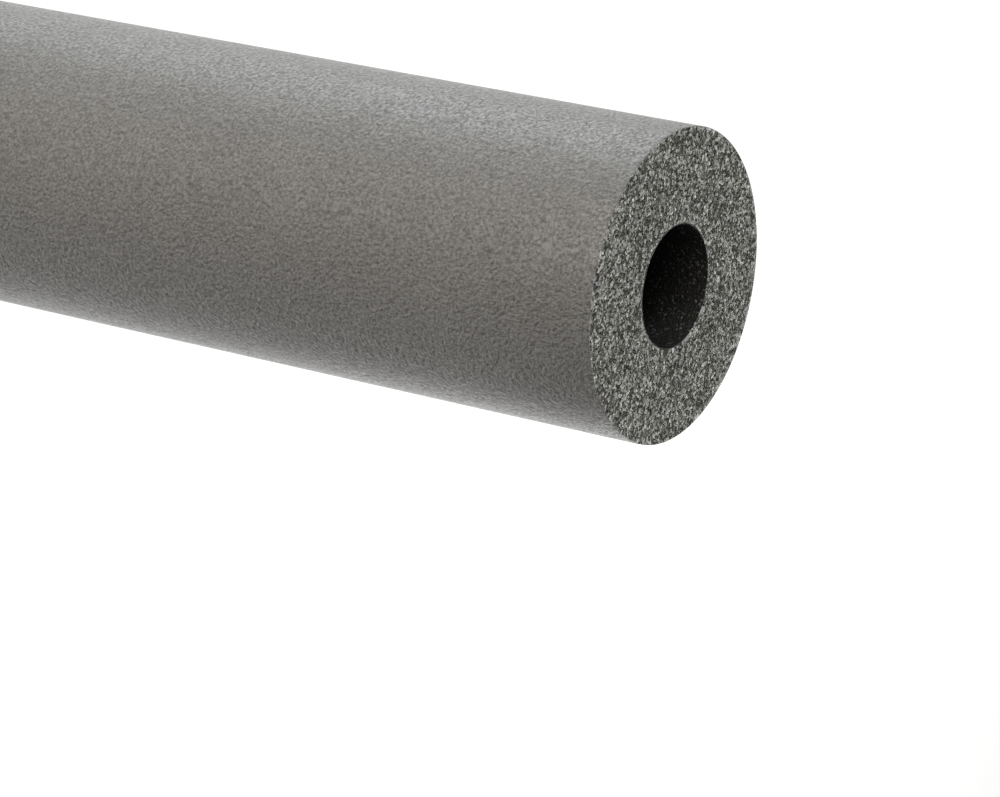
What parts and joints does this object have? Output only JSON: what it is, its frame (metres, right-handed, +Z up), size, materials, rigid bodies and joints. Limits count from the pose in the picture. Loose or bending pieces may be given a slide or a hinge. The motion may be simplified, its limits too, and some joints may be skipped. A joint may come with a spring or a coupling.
{
  "type": "pipe insulation tube",
  "caption": "Straight closed-cell foam tube with a round through bore, slid over a heating pipe to lag it. Smooth extruded skin outside, open cut cells on its square ends.",
  "frame": {"origin": "on the floor, on the bore's axis, where the tube stands on its square-cut end", "axes": "+Z up along the tube's bore, +X and +Y across the tube"},
  "size_m": [0.0426, 0.0426, 1],
  "materials": {
    "polyethylene_foam": "grey closed-cell foam, satin extruded skin with a fine wrinkled grain, glinting open cells on the cut ends"
  },
  "bodies": {
    "root": {"foam_tube": "polyethylene_foam"}
  },
  "joints": []
}
